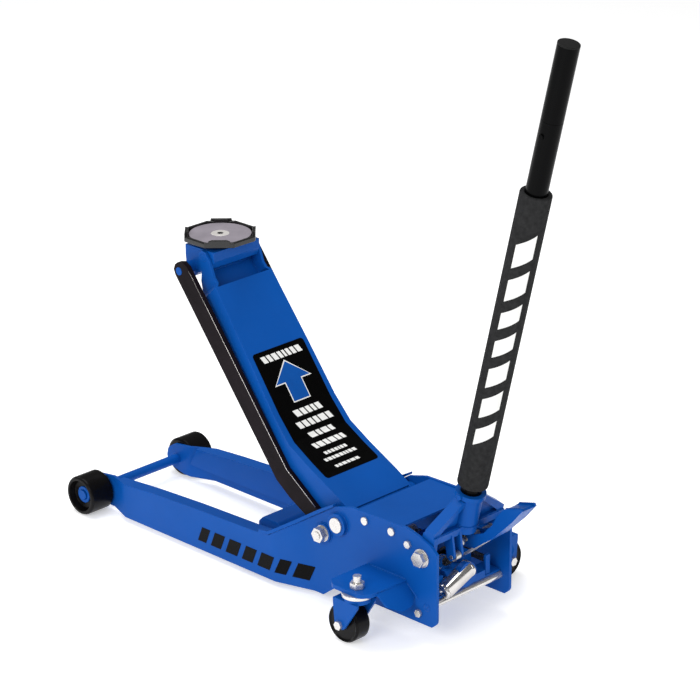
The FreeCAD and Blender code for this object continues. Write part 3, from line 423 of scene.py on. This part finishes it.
# Each row: start and length across the arm, near and far edge along it, number of blocks, lean, gap.
ROWS = [(-52, 104, -356, -342, 8, 5, 3.5), (-36, 72, -240, -226, 5, 5, 3.5),
        (-44, 92, -216, -202, 6, 5, 3.5), (-30, 66, -190, -178, 4, 5, 3.5),
        (-40, 84, -166, -154, 6, 4, 3.0), (-30, 60, -142, -135, 7, 2, 2.2),
        (-42, 84, -128, -121, 9, 2, 2.2), (-32, 64, -108, -102, 6, 2, 2.2)]
panel_marks = [outline for row in ROWS for outline in across(blocks(*row))]
sheet("arm_panel_marks", panel_marks, MARK_LAYER, on_arm, MARK_WHITE, "arm", BENDS)


def arrow(grow):
    """Upward arrow, pointing to the arm's tip, grown outwards by a margin."""
    point, barb, foot = -334 - 1.6 * grow, -296 + grow, -256 + grow
    wing, stem = 44 + 1.8 * grow, 20 + grow
    return [(point, 0), (barb, -wing), (barb, -stem), (foot, -stem), (foot, stem), (barb, stem),
            (barb, wing)]


def halves(outline):
    """The arrow's outline as two convex pieces, head and stem."""
    tip, left, left_in, low_left, low_right, right_in, right = outline
    return [[tip, left, right], [left_in, low_left, low_right, right_in]]


sheet("arm_arrow_edge", halves(arrow(2.2)), MARK_LAYER, on_arm, MARK_WHITE, "arm", BENDS)
sheet("arm_arrow", halves(arrow(0)), ARROW_LAYER, on_arm, MARK_BLUE, "arm", BENDS)
side_marks = blocks(306, 300, 29, 60, 7, 13, 13, 0.2)
sheet("side_marks", side_marks, PANEL_LAYER, on_side, MARK_BLACK, "chassis", SIDE_BENDS)
foam_marks = blocks(224, 436, -84, -16, 7, 25, 24, 0.2)
sheet("foam_marks", foam_marks, 0.4, on_foam, MARK_WHITE, "handle", (), FOAM_BENDS)


# ---------------------------------------------------------------- weld beads
def circle(centre, across_a, across_b, radius, count=40):
    """Closed ring of points in the plane of two directions."""
    return [centre + across_a * (radius * math.cos(2 * math.pi * i / count))
            + across_b * (radius * math.sin(2 * math.pi * i / count)) for i in range(count + 1)]


X, Y, Z = Vector((1, 0, 0)), Vector((0, 1, 0)), Vector((0, 0, 1))
LINK = Vector(JOINTS["rod_left_swing"]["pos_m"])
REAR_FACE = 0.102
SILL_FACE = 0.0975


def side_welds(side, sign):
    """Beads on one side frame: caster bracket, bosses of the shaft and the link bolt, and sill."""
    face = sign * REAR_FACE
    low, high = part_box("caster_bracket_" + side)
    top = [Vector((low.x + 0.012, face, high.z)), Vector((0.840, face, high.z))]
    skirt = [Vector((0.8435, face, high.z - 0.006)), Vector((0.8705, face, 0.0835))]
    bead("weld_bracket_top_" + side, top, 0.0024, "chassis")
    bead("weld_bracket_skirt_" + side, skirt, 0.002, "chassis")
    bead("weld_shaft_ring_" + side, circle(Vector((SHAFT.x, face, SHAFT.z)), X, Z, 0.0225), 0.0016,
         "chassis")
    bead("weld_link_ring_" + side, circle(Vector((LINK.x, face, LINK.z)), X, Z, 0.0195), 0.0016,
         "chassis")
    low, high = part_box("front_cross_member")
    sill = [Vector((x, sign * SILL_FACE, 0.041)) for x in (low.x + 0.010, high.x - 0.006)]
    bead("weld_sill_" + side, sill, 0.002, "chassis")


def yoke_weld(side, sign):
    """Bead along the rear face of one half of the yoke's crossbar."""
    bar = [YOKE + HANDLE * 0.046 + Y * (sign * y / 1000) + HANDLE_BACK * 0.011 for y in (30, 60, 88)]
    bead("weld_yoke_bar_" + side, bar, 0.0018, "yoke")


for side, sign in (("left", -1), ("right", 1)):
    side_welds(side, sign)
    yoke_weld(side, sign)
bead("weld_socket", circle(YOKE + HANDLE * 0.0465, HANDLE_BACK, Y, 0.0255), 0.0019, "yoke")
bead("weld_collar", circle(YOKE + HANDLE * 0.1025, HANDLE_BACK, Y, 0.0255), 0.0015, "yoke")

# Bead on the front lip of the pocket floor at the arm's tip, and plug welds over the tie rod's ends.
LIP = TIP + ARM_BACK * 0.0205 - ARM_UP * 0.0257
LIP_HALF = 0.0605
bead("weld_pocket_lip", [LIP - Y * LIP_HALF, LIP + Y * LIP_HALF], 0.0025, "arm")
PLUG = [(-0.6, 7.4), (0.3, 7.6), (0.9, 6.6), (1.2, 4.4), (1.3, 0.4), (-0.6, 0.4)]
low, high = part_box("rear_tie_rod")
for side, sign in (("left", -1), ("right", 1)):
    spot = Vector(((low.x + high.x) / 2, sign * REAR_FACE, (low.z + high.z) / 2))
    lathe("weld_plug_" + side, spot, Vector((0, sign, 0)), PLUG, WELD, "chassis")

# ------------------------------------------------------------- plunger spring
STROKE = Vector(JOINTS["plunger_stroke"]["axis"]).normalized()
low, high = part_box("plunger_spring")
centre = (low + high) / 2
PUMP_COIL, PUMP_WIRE, PUMP_TURNS, PUMP_COIL_HALF = 0.0069, 0.0007, 6.5, 0.0118
start, end = centre - STROKE * PUMP_COIL_HALF, centre + STROKE * PUMP_COIL_HALF
verts, faces = tube_path(coil_points(start, end, PUMP_COIL, PUMP_TURNS), PUMP_WIRE, 6)
pump_coil = add_mesh("pump_coil", verts, faces, FINISH["spring_steel"], "chassis")
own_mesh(pump_coil)
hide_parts("plunger_spring")

# Polished sleeve pressed on the pump barrel, with a lip and two grooves: (distance, radius) in mm.
SLEEVE = [(1.0, 8.5), (0.6, 9.5), (0.6, 15.2), (1.6, 16.4), (4.0, 16.6), (4.6, 16.15), (5.4, 16.15),
          (6.0, 16.6), (17.0, 16.6), (17.6, 16.15), (18.4, 16.15), (19.0, 16.6), (22.0, 16.6),
          (22.8, 16.05), (22.8, 15.9), (2.2, 15.9), (1.4, 15.0), (1.4, 9.5)]
lathe("pump_sleeve", end, STROKE, SLEEVE, FINISH["zinc"], "chassis")

# Polished shell of the pump, lying across the block's rear face and rising to the far side.
SHELL_FROM, SHELL_TO = mm(899, -68, 93), mm(899, 5, 121)
SHELL = SHELL_TO - SHELL_FROM
LONG = SHELL.length * 1000
SHELL_PROFILE = [(0.0, 4.0), (0.0, 13.2), (1.6, 15.6), (5.0, 16.2), (5.6, 15.2), (7.2, 15.2),
                 (7.8, 17.0), (LONG - 9.0, 17.0), (LONG - 8.4, 17.6), (LONG - 2.0, 17.6),
                 (LONG - 0.8, 16.6), (LONG, 14.8), (LONG, 4.0)]
lathe("pump_shell", SHELL_FROM, SHELL.normalized(), SHELL_PROFILE, POLISHED, "chassis")

# Painted highlight: a thin steel wire along the outer top edge of each radius rod, standing in for the
# light caught on that edge: (along, above) in mm from its rear pivot.
HIGHLIGHT_WIRE = 0.0007
EDGE = [(-560, 25.0), (-470, 16.7), (-350, 5.6), (-230, -5.4), (-142, -13.5), (-90, -2.9), (-50, 5.0)]
for side, sign in (("left", -1), ("right", 1)):
    pivot = Vector(JOINTS["rod_%s_swing" % side]["pos_m"])
    low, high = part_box("radius_rod_" + side)
    face = low.y if sign < 0 else high.y
    corner = Vector((pivot.x, face - sign * 0.0004, pivot.z))
    line = [corner + ARM_BACK * (u / 1000) + ARM_UP * ((w - 0.5) / 1000) for u, w in EDGE]
    verts, faces = tube_path(line, HIGHLIGHT_WIRE, 8)
    add_mesh("rod_highlight_" + side, verts, faces, FINISH["steel"], "rod_" + side)

# ------------------------------------------------------------ saddle fasteners
low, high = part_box("saddle_screw")
seat = Vector(((low.x + high.x) / 2, (low.y + high.y) / 2, high.z))


def hexagon(radius, height):
    """Corners of the dark hexagon over the middle of the screw, a painted shade of the key socket."""
    turns = [math.radians(60 * k) for k in range(6)]
    return [seat + (X * math.cos(a) + Y * math.sin(a)) * radius + Z * height for a in turns]


# Dark hexagon over the screw head: painted shade standing in for the hollow of the key socket.
rim = [(k, 6 + k, 6 + (k + 1) % 6, (k + 1) % 6) for k in range(6)]
add_mesh("saddle_key_socket_shade", hexagon(0.0058, 0.0003) + hexagon(0.0066, 0), [(0, 1, 2, 3, 4, 5)] + rim,
         FINISH["spring_steel"], "saddle", False)

# -------------------------------------------------------------------- stage
floor = bpy.data.objects.new("floor", bpy.data.meshes.new("floor"))
FLOOR_HALF, FLOOR_DROP = 30, -0.0005
corners = [(FLOOR_HALF * x, FLOOR_HALF * y, FLOOR_DROP) for x, y in ((-1, -1), (1, -1), (1, 1), (-1, 1))]
floor.data.from_pydata(corners, [], [(0, 1, 2, 3)])
bpy.context.collection.objects.link(floor)
floor_material, floor_tree, floor_shader = new_material("floor_white")
floor_shader.inputs["Base Color"].default_value = (0.93, 0.93, 0.93, 1)
floor_shader.inputs["Roughness"].default_value = 0.6
floor_shader.inputs["Specular IOR Level"].default_value = 0.2
floor_shader.inputs["Emission Color"].default_value = (1, 1, 1, 1)
floor_shader.inputs["Emission Strength"].default_value = 0.42
floor.data.materials.append(floor_material)


def area_light(name, spot, aim, size, power):
    """White rectangular light aimed at a point."""
    data = bpy.data.lights.new(name, "AREA")
    data.shape = "RECTANGLE"
    data.size, data.size_y = size
    data.energy = power
    light = bpy.data.objects.new(name, data)
    bpy.context.collection.objects.link(light)
    light.location = spot
    light.rotation_euler = (Vector(aim) - Vector(spot)).to_track_quat("-Z", "Y").to_euler()
    return light


# Soft lights: near side towards the rear, above the front, beyond the handle end, beyond the front wheels.
MIDDLE = (0.5, 0, 0.35)
area_light("key", (1.5, -3.5, 2.3), (0.75, 0, 0.2), (2.2, 1.4), 70)
area_light("top", (-0.3, 0.2, 3.4), MIDDLE, (2.4, 2.4), 62)
area_light("side", (3.6, 0.6, 1.6), MIDDLE, (0.8, 2.2), 14)
area_light("rim", (-3.2, 0.2, 2.6), MIDDLE, (1.6, 1.6), 14)
# White surroundings, dimmer in reflections so that glossy paint keeps its colour.
WORLD_LIGHT, WORLD_REFLECTED = 0.5, 0.16
world = bpy.data.worlds.new("studio")
world.use_nodes = True
backdrop = world.node_tree.nodes["Background"]
backdrop.inputs["Color"].default_value = (1, 1, 1, 1)
rays = world.node_tree.nodes.new("ShaderNodeLightPath")
calm = world.node_tree.nodes.new("ShaderNodeMapRange")
calm.inputs["To Min"].default_value = WORLD_LIGHT
calm.inputs["To Max"].default_value = WORLD_REFLECTED
link(world.node_tree, rays, "Is Glossy Ray", calm, "Value")
link(world.node_tree, calm, "Result", backdrop, "Strength")
bpy.context.scene.world = world
bpy.context.scene.view_settings.view_transform = "Standard"

# ------------------------------------------------------------------- camera
camera_data = bpy.data.cameras.new("camera")
camera_data.sensor_width = 36.0
camera_data.lens = 154.6
camera_data.shift_x = 0.0036
camera_data.shift_y = 0.0234
camera_data.clip_end = 100.0
camera = bpy.data.objects.new("camera", camera_data)
bpy.context.collection.objects.link(camera)
DISTANCE = 5.5967
target = Vector((0.5925, 0.0011, 0.4331))
azimuth, elevation, roll = math.radians(44.67), math.radians(21.59), math.radians(-0.43)
back = Vector((math.cos(elevation) * math.sin(azimuth), -math.cos(elevation) * math.cos(azimuth),
               math.sin(elevation)))
right = Vector((math.cos(azimuth), math.sin(azimuth), 0))
up = back.cross(right)
turned_right = right * math.cos(roll) + up * math.sin(roll)
turned_up = up * math.cos(roll) - right * math.sin(roll)
place = target + back * DISTANCE
camera.matrix_world = Matrix((
    (turned_right.x, turned_up.x, back.x, place.x),
    (turned_right.y, turned_up.y, back.y, place.y),
    (turned_right.z, turned_up.z, back.z, place.z),
    (0, 0, 0, 1)))
bpy.context.scene.camera = camera
